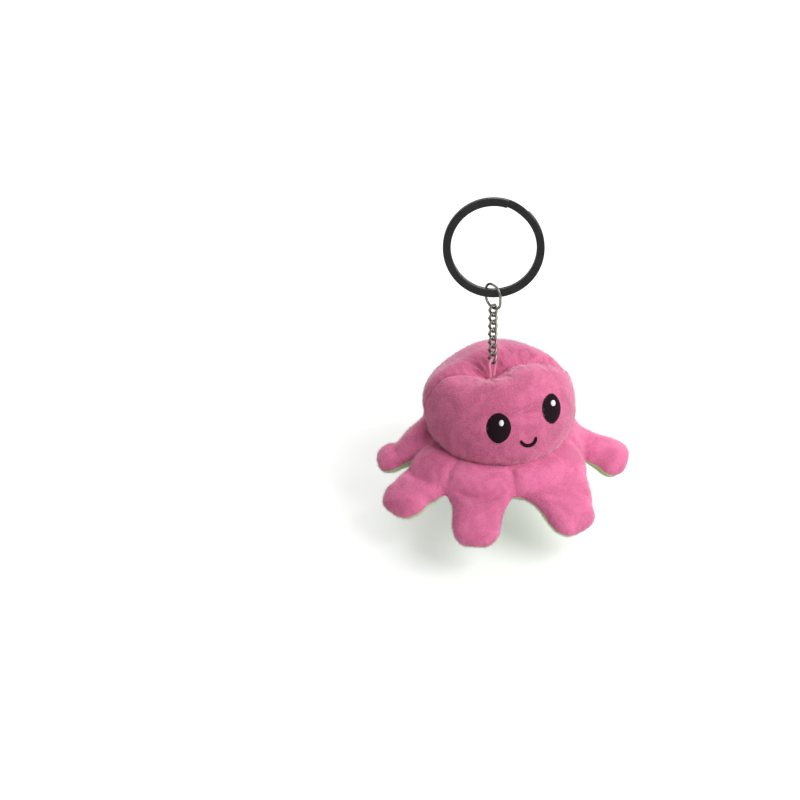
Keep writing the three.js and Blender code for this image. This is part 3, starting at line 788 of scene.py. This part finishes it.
def inside(points, edge):
    """Which flat points lie inside a closed line."""
    found = np.zeros(len(points), bool)
    for (x0, y0), (x1, y1) in zip(edge, np.roll(edge, -1, axis=0)):
        crosses = (y0 > points[:, 1]) != (y1 > points[:, 1])
        with np.errstate(divide="ignore", invalid="ignore"):
            at = x0 + (points[:, 1] - y0) / (y1 - y0) * (x1 - x0)
        found ^= crosses & (points[:, 0] < at)
    return found


def star_pattern():
    """The flat star as triangles, with edges along the collar and between the arms."""
    lines = [star_edge]
    for radius in (mouth_radius, collar_radius):
        count = int(2 * math.pi * radius / star_spacing)
        turn = np.linspace(0, 2 * math.pi, count, endpoint=False)
        lines.append(np.stack([radius * np.cos(turn), radius * np.sin(turn)], axis=1))
    edges, fixed = [], []
    for line in lines:
        first = len(fixed)
        fixed += list(line)
        edges += [(first + i, first + (i + 1) % len(line)) for i in range(len(line))]
    near = tree_of(fixed)
    for radius, bearing in zip(notch_radii, notch_bearings):
        ends = [near.find((*turned(r, 0, bearing), 0))[1] for r in (collar_radius, radius)]
        start, end = (np.array(fixed[i]) for i in ends)
        count = int(np.linalg.norm(end - start) / star_spacing)
        chain = [ends[0]]
        for share in np.linspace(0, 1, count, endpoint=False)[1:]:
            chain.append(len(fixed))
            fixed.append(start + (end - start) * share)
        chain.append(ends[1])
        edges += list(zip(chain, chain[1:]))
    half = 0.046
    rows = np.arange(-half, half, star_spacing * math.sqrt(3) / 2)
    grid = np.array([(x + (i % 2) * star_spacing / 2, y) for i, y in enumerate(rows)
                     for x in np.arange(-half, half, star_spacing)])
    grid = grid[inside(grid, star_edge) & (np.hypot(*grid.T) > mouth_radius)]
    near = tree_of(fixed)
    grid = [p for p in grid if near.find((*p, 0))[2] > star_spacing * 0.55]
    every = [Vector(p) for p in [*fixed, *grid]]
    flat, _, faces, _, _, _ = geometry.delaunay_2d_cdt(every, edges, [], 0, 1e-6)
    flat = np.array([tuple(p) for p in flat])
    faces = np.array(faces)
    centres = flat[faces].mean(axis=1)
    keep = inside(centres, star_edge) & (np.hypot(*centres.T) > mouth_radius)
    return flat, faces[keep]


flat, triangles = star_pattern()
edge_tree = tree_of(star_edge)
from_edge = np.array([edge_tree.find((x, y, 0))[2] for x, y in flat])
on_edge = from_edge < 1e-5
radial = np.hypot(*flat.T)
bearing_at = np.arctan2(flat[:, 1], flat[:, 0])


def nearest_arm(bearings):
    """The number of the arm that each bearing belongs to, and how far off its middle it is,
    from -1 in one notch beside it to 1 in the other."""
    turns = [turn for pair in zip(notch_bearings, arm_bearings) for turn in pair]
    turns.append(turns[0] + 2 * math.pi)
    around = (bearings - turns[0]) % (2 * math.pi) + turns[0]
    step = np.interp(around, turns, np.arange(len(turns)))
    number = np.floor(step / 2).astype(int)
    return number % 8, step - 2 * number - 1


arm_at, aside = nearest_arm(bearing_at)
# Each arm's droop fades to the notches' own, which all arms share
notch_droop = math.radians(31)
share = np.cos(aside * math.pi / 2) ** 2
droop = np.array(arm_droops)[arm_at] * share + notch_droop * (1 - share)


def slope(distance):
    """How steeply the star droops at a distance from its middle, measured along it."""
    bend_half = 0.0055
    return droop * smoothstep(distance, hinge_radius - bend_half, hinge_radius + bend_half)


def bent(distance, height):
    """Radius and height of points on the star, whose arms bend down round their hinges."""
    steps = 48
    radius, drop = np.zeros(len(distance)), np.zeros(len(distance))
    for k in range(steps):
        angle = slope(distance * (k + 0.5) / steps)
        radius += np.cos(angle) * distance / steps
        drop += np.sin(angle) * distance / steps
    angle = slope(distance)
    return radius + height * np.sin(angle), height * np.cos(angle) - drop


# How far the filling pushes each skin out: less where the arms bend, and in a round to the edge
full = 0.0031 + 0.0004 * smoothstep(radial, 0.031, 0.036) - 0.0006 * hump(radial - 0.0275, 0.0022)
edge_round, roundness = 0.0066, 2.2
puff = full * (1 - (1 - np.clip(from_edge / edge_round, 0, 1)) ** roundness) ** (1 / roundness)
puff[on_edge] = 0
# A pinch runs in from each notch, a soft fold crosses the top of each arm's root, the top
# rises to meet the head, and the underside rolls up into the mouth
off_notch = (1 - np.abs(aside)) * math.pi / 8 * radial
pinch = hump(off_notch, 0.0012) * smoothstep(radial, 0.018, 0.027)
fold_depths = np.array((0.0013, 0.0006, 0.0004, 0.0005, 0.0005, 0.0005, 0.0005, 0.0008))
fold = hump(radial - 0.0272 - 0.0012 * share, 0.0012)
fold *= fold_depths[arm_at] * np.minimum(1, share * 1.6)
collar = 1 - smoothstep(radial, 0.0212, 0.0290)
lip = np.clip((0.0162 - radial) / 0.0017, 0, 1)
pinch_depth, collar_rise, lip_rise = 0.0010, 0.0034, 0.0018
layers = []
for side in (1, -1):
    height = side * puff - side * pinch * pinch_depth * (~on_edge)
    if side == 1:
        height = height - fold + collar * collar_rise
    else:
        height = height + lip_rise * (1 - np.sqrt(1 - lip ** 2))
    r, z = bent(radial, height)
    layers.append(np.stack([r * np.cos(bearing_at), r * np.sin(bearing_at), z + seam_z], axis=1))

# Each triangle's part: 0 in the skirt, 1 to 8 in the arms. Inside the notches the bearing
# tells the arm. Past them no two arms touch, so what joins up with a tip is that arm.
centres = flat[triangles].mean(axis=1)
arm, off_middle = nearest_arm(np.arctan2(centres[:, 1], centres[:, 0]))
notch = np.array(notch_radii)[np.where(off_middle < 0, arm, (arm + 1) % 8)]
past_notch = 0.0006
outer = set(np.nonzero(np.hypot(*centres.T) > notch + past_notch)[0].tolist())
beside = {}
for i in sorted(outer):
    for a, b in zip(triangles[i], np.roll(triangles[i], 1)):
        beside.setdefault((min(a, b), max(a, b)), []).append(i)
for k, bearing in enumerate(arm_bearings):
    tip = turned(arm_reaches[k] - 0.004, 0, bearing)
    waiting = [int(np.argmin(np.hypot(*(centres - tip).T)))]
    while waiting:
        i = waiting.pop()
        if i in outer:
            outer.remove(i)
            arm[i] = k
            for a, b in zip(triangles[i], np.roll(triangles[i], 1)):
                waiting += beside[min(a, b), max(a, b)]
part_of = np.where(np.hypot(*centres.T) < collar_radius, 0, arm + 1)

# Both layers share the points of the edge where they are sewn together. The underside's parts
# are numbered on from the top's.
layer_parts = 9
count = len(flat)
lower_index = np.where(on_edge, np.arange(count), count + np.cumsum(~on_edge) - 1)
star_points = np.vstack([layers[0], layers[1][~on_edge]])
star_faces = np.vstack([triangles, lower_index[triangles][:, ::-1]])
star_mesh = bpy.data.meshes.new("star_form")
star_mesh.from_pydata(star_points.tolist(), [], star_faces.tolist())
star_mesh.polygons.foreach_set("material_index",
                               np.concatenate([part_of, part_of + layer_parts]))
# A material slot for each part keeps the parts' numbers when the star is smoothed
for _ in range(2 * layer_parts):
    star_mesh.materials.append(pink_pile)
star_whole = stand("star_whole", star_mesh)
star_radius = np.hypot(star_points[:, 0], star_points[:, 1])
stuffed(star_whole, star_radius < 0.0165, pressure=2.5, cap=0.0009)
star_skin = smoothed(star_whole)
parts = np.empty(len(star_skin.polygons), int)
star_skin.polygons.foreach_get("material_index", parts)
normals = numbers(star_skin.vertices, "normal")

# The same pink painted lighter for the skirt and arms, as a lit copy of it: painted light where
# their tops face up into the lamps
pink_pile_painted_lit = minky("pink_cut_pile_painted_lit", "#df719e", "#cb638c", pink_shine)

# Green minky: a light yellow green, with the same pile
# The pale green of the pile's sheen and of the highlights painted on its tufts' tips
green_shine = "#f2f7e6"
green_pile = minky("green_cut_pile", "#bdd59e", "#abc48c", green_shine)
# Its ends are painted paler too, as painted light for the light they let through and paler rims
green_painted_pale_tips = minky("green_pile_ends_painted_light", "#cfe0b6", "#bdd0a0", green_shine)

for layer, side, word, pile, tips, slot in (
    (0, "top", "pink", pink_pile_painted_lit, pink_painted_pale_tips, "pink_minky"),
    (1, "underside", "green", green_pile, green_painted_pale_tips, "green_minky"),
):
    # The upper skins stand for the filling too
    first = layer * layer_parts
    part = panel(f"skirt_{side}", star_skin, np.nonzero(parts == first)[0], normals)
    nodes = [f"{word}_skirt"] + (["skirt_fill"] if side == "top" else [])
    piece = add_piece(part.name, part, pile, "toy", *nodes, slot=slot)
    pile_on(piece, "toy", slot, tips, 10 + layer)
    for k, bearing in enumerate(arm_bearings):
        part = panel(f"arm_{k + 1}_{side}", star_skin, np.nonzero(parts == first + k + 1)[0], normals)
        nodes = [f"arm_{k + 1}_{word}_skin"] + ([f"arm_{k + 1}_fill"] if side == "top" else [])
        piece = add_piece(part.name, part, pile, None, *nodes, slot=slot)
        for blended in (piece, pile_on(piece, None, slot, tips, 20 + 2 * k + layer)):
            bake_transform(blended)


# Cavity lining
# The second skin runs from the mouth up inside the head. It is gathered, because it is the
# turned-in head of the other side, and its crown is drawn together round its own seam.

# Its wall's radius and height, from the mouth to the crown
lining_profile = ((0.0152, -0.0820), (0.0146, -0.0806), (0.0140, -0.0790), (0.0141, -0.0766),
                  (0.0143, -0.0732), (0.0140, -0.0695), (0.0128, -0.0661), (0.0104, -0.0633),
                  (0.0066, -0.0617), (0.0026, -0.0613), (0.0004, -0.0606))


def lining_form():
    """The lining as a surface that looks into the cavity, closed at its crown."""
    rows, columns = 64, 192
    knots = np.array(lining_profile)
    at = np.linspace(0, len(knots) - 1, rows)
    radius, level = (np.interp(at, np.arange(len(knots)), knots[:, k]) for k in (0, 1))
    for _ in range(6):
        radius[1:-1] = (radius[:-2] + 2 * radius[1:-1] + radius[2:]) / 4
        level[1:-1] = (level[:-2] + 2 * level[1:-1] + level[2:]) / 4
    along, around = np.meshgrid(np.linspace(0, 1, rows),
                                np.linspace(0, 2 * math.pi, columns, False), indexing="ij")
    # Soft pillows between sharp gathers, whose lines wander and fork on their way up
    wander = 0.35 * np.sin(3 * along * math.pi + 2 * around) + 0.2 * np.sin(7 * along + 5 * around)
    gather = np.abs(np.sin(4.5 * around + wander)) ** 0.6
    fine = np.abs(np.sin(8 * around + 1.7 * wander + 4 * along)) ** 0.8
    depth = 0.0009 * gather * smoothstep(along, 0.08, 0.22)
    depth += 0.0005 * fine * smoothstep(along, 0.25, 0.8)
    # The stitched face holds the fabric flatter on the wall behind it
    calm = np.exp(-(((around - math.pi / 2) / 0.75) ** 2) - ((along - 0.5) / 0.22) ** 2)
    depth = depth * (1 - 0.75 * calm) + 0.0004 * calm
    inward = radius[:, None] - depth * np.minimum(1, radius[:, None] / 0.006)
    crown = smoothstep(along, 0.7, 0.95)
    z = level[:, None] - depth * crown * 0.6
    points = np.stack([inward * np.cos(around), inward * np.sin(around), z + 0 * around], axis=-1)
    mesh = bpy.data.meshes.new("lining_form")
    faces = []
    for low in range(0, (rows - 1) * columns, columns):
        high = low + columns
        for j in range(columns):
            k = (j + 1) % columns
            faces.append((low + j, high + j, high + k, low + k))
    top = rows * columns
    last = top - columns
    faces += [(last + j, top, last + (j + 1) % columns) for j in range(columns)]
    middle = (0, 0, float(points[-1, :, 2].mean()))
    mesh.from_pydata(points.reshape(-1, 3).tolist() + [middle], [], faces)
    return mesh


lining = lining_form()
normals = numbers(lining.vertices, "normal")
middle_y = numbers(lining.polygons, "center")[:, 1]
for side, faces in (
    ("front", np.nonzero(middle_y < 0)[0]),
    ("back", np.nonzero(middle_y >= 0)[0]),
):
    part = panel(f"lining_{side}_panel", lining, faces, normals)
    piece = add_piece(f"lining_{side}_panel", part, green_pile, "toy", f"green_head_{side}",
                      slot="green_minky")


# Happy face
# Satin stitch over the front panel: black eyes, a white glint in each and a black smile. Each
# stitch is one thread laid from edge to edge over a raised middle, with its ends in the fabric.
def satin_material(name, colour, edge):
    """Rayon thread: it shines along its length. Its plies are 0.1 mm and are drawn at 0.2 mm."""
    material, tree = new_material(name)
    place = add_node(tree, "ShaderNodeTexCoord").outputs["Object"]
    plies = add_node(tree, "ShaderNodeTexNoise", {"Scale": 5000, "Detail": 1}, {"Vector": place})
    mix = add_node(tree, "ShaderNodeMix", {6: linear(colour), 7: linear(edge)},
                   {0: plies.outputs[0]}, data_type="RGBA")
    bump = add_node(tree, "ShaderNodeBump", {"Strength": 0.3, "Distance": 0.00005},
                    {"Height": plies.outputs[0]})
    shader = add_node(tree, "ShaderNodeBsdfPrincipled",
                      {"Roughness": 0.7, "IOR": 1.5, "Specular IOR Level": 0.1},
                      {"Base Color": mix.outputs[2], "Normal": bump.outputs[0]})
    add_node(tree, "ShaderNodeOutputMaterial", links={"Surface": shader.outputs[0]})
    return material


# Black thread: soft black with a plum cast between its plies
black_thread = (satin_material("black_rayon_thread", "#0b0508", "#25121d"), "black_thread")
# White thread: slightly warm, so that its raised middle stays below white
white_thread = (satin_material("white_rayon_thread", "#dcd8db", "#efecee"), "white_thread")

thread, stitch_pitch = 0.00034, 0.00026


def oval_stitches(width, height):
    """Level threads that fill an oval, each as its left and right end."""
    count = int(height / stitch_pitch)
    rows = [(k + 0.5) / count * 2 - 1 for k in range(count)]
    return [((-width / 2 * math.sqrt(1 - v * v), v * height / 2),
             (width / 2 * math.sqrt(1 - v * v), v * height / 2)) for v in rows]


def bow_stitches(radius, width, middle, sweep):
    """Short threads across a bow, which taper away at its two ends."""
    count = int(radius * sweep / stitch_pitch)
    found = []
    for k in range(count):
        share = (k + 0.5) / count * 2 - 1
        turn = middle + sweep / 2 * share
        half = width / 2 * (1 - abs(share) ** 6 * 0.5)
        found.append(tuple(((radius + side * half) * math.cos(turn),
                            (radius + side * half) * math.sin(turn)) for side in (-1, 1)))
    return found


def skin_of(mesh):
    """A mesh as a surface that rays can be cast on."""
    return bvhtree.BVHTree.FromPolygons([tuple(p) for p in numbers(mesh.vertices, "co")],
                                        [tuple(f.vertices) for f in mesh.polygons])


def stitch_on(name, node, skin, place, outward, threads, thread_kind, lift=0.0001):
    """Lays threads on a skin round a place, seen from outward, as one piece. Each thread
    rises in its middle and sinks into the fabric at its ends."""
    rise, sink, steps = 0.0003, 0.0003, 8
    material, slot = thread_kind
    outward = outward.normalized()
    right = Vector((0, 0, 1)).cross(outward).normalized()
    up = outward.cross(right)
    lines = []
    for start, end in threads:
        line = []
        for k in range(steps + 1):
            share = k / steps
            flat = Vector(start).lerp(Vector(end), share)
            above = place + right * flat.x + up * flat.y + outward * 0.004
            hit, normal, _, _ = skin.ray_cast(above, -outward, 0.012)
            if normal.dot(outward) < 0:
                normal = -normal
            dome = math.sqrt(max(0, 1 - (2 * share - 1) ** 2))
            line.append(hit + normal * (lift + rise * dome - sink * (1 - dome) ** 2))
        lines.append(line)
    mesh = grown(path_object(lines), round_wire,
                 {"Wire Diameter": thread, "Sides": 6, "Material": material})
    return add_piece(name, mesh, material, "toy", node, slot=slot)


def through_pixel(x, y, skin):
    """The place on a skin that the camera sees at a pixel of the photograph."""
    at = aim + picture_right * (x - middle_pixel) * pixel
    at -= picture_up * (y - middle_pixel) * pixel
    return skin.ray_cast(camera.location, (at - camera.location).normalized())[0]


# The glints are laid over the eyes' threads
glint_lift = 0.00045
face_skin = skin_of(head_skin)
for side, eye_pixel, eye_size, glint_pixel in zip(
    ("right", "left"), eye_pixels, eye_sizes, glint_pixels
):
    stitch_on(f"happy_{side}_eye_threads", f"happy_{side}_eye", face_skin,
              through_pixel(*eye_pixel, face_skin), towards_camera,
              oval_stitches(*eye_size), black_thread)
    stitch_on(f"happy_{side}_glint_threads", f"happy_{side}_glint", face_skin,
              through_pixel(*glint_pixel, face_skin), towards_camera,
              oval_stitches(0.0014, 0.0016), white_thread, lift=glint_lift)
smile = bow_stitches(radius=0.0023, width=0.0008, middle=math.radians(-76), sweep=math.radians(165))
stitch_on("happy_smile_threads", "happy_smile", face_skin, through_pixel(*smile_pixel, face_skin),
          towards_camera, smile, black_thread)


# Angry face
# The other side's face, stitched on the lining's back wall: half-round eyes that slant down to
# the nose, a glint in each, and a frown.
def lid_stitches(radius, slant, lid):
    """Level threads that fill the part of a disc below its lid, a slanted straight edge that
    passes over the disc's middle at a height of lid."""
    shortest = 0.0004
    count = int(2 * radius / stitch_pitch)
    found = []
    for k in range(count):
        v = ((k + 0.5) / count * 2 - 1) * radius
        half = math.sqrt(radius * radius - v * v)
        limit = (v - lid) / math.tan(slant)
        left, right = (max(-half, limit), half) if slant > 0 else (-half, min(half, limit))
        if right - left > shortest:
            found.append(((left, v), (right, v)))
    return found


lining_skin = skin_of(lining)


def on_lining(node):
    """The place on the lining that a node stands on, and the way into the cavity there."""
    low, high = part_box(node)
    middle = (low + high) / 2
    inward = Vector((-middle.x, -middle.y, 0)).normalized()
    hit, normal, _, _ = lining_skin.ray_cast(middle + inward * 0.004, -inward)
    return hit, inward.lerp(normal if normal.dot(inward) > 0 else -normal, 0.5)


for side, slant in (("right", math.radians(-20)), ("left", math.radians(20))):
    place, inward = on_lining(f"angry_{side}_eye")
    stitch_on(f"angry_{side}_eye_threads", f"angry_{side}_eye", lining_skin, place, inward,
              lid_stitches(radius=0.0036, slant=slant, lid=0.0006), black_thread)
    place, _ = on_lining(f"angry_{side}_glint")
    stitch_on(f"angry_{side}_glint_threads", f"angry_{side}_glint", lining_skin, place, inward,
              oval_stitches(0.0015, 0.0017), white_thread, lift=glint_lift)
frown = bow_stitches(radius=0.0022, width=0.0009, middle=math.pi / 2, sweep=math.radians(160))
place, inward = on_lining("angry_frown")
stitch_on("angry_frown_threads", "angry_frown", lining_skin, place, inward, frown, black_thread)
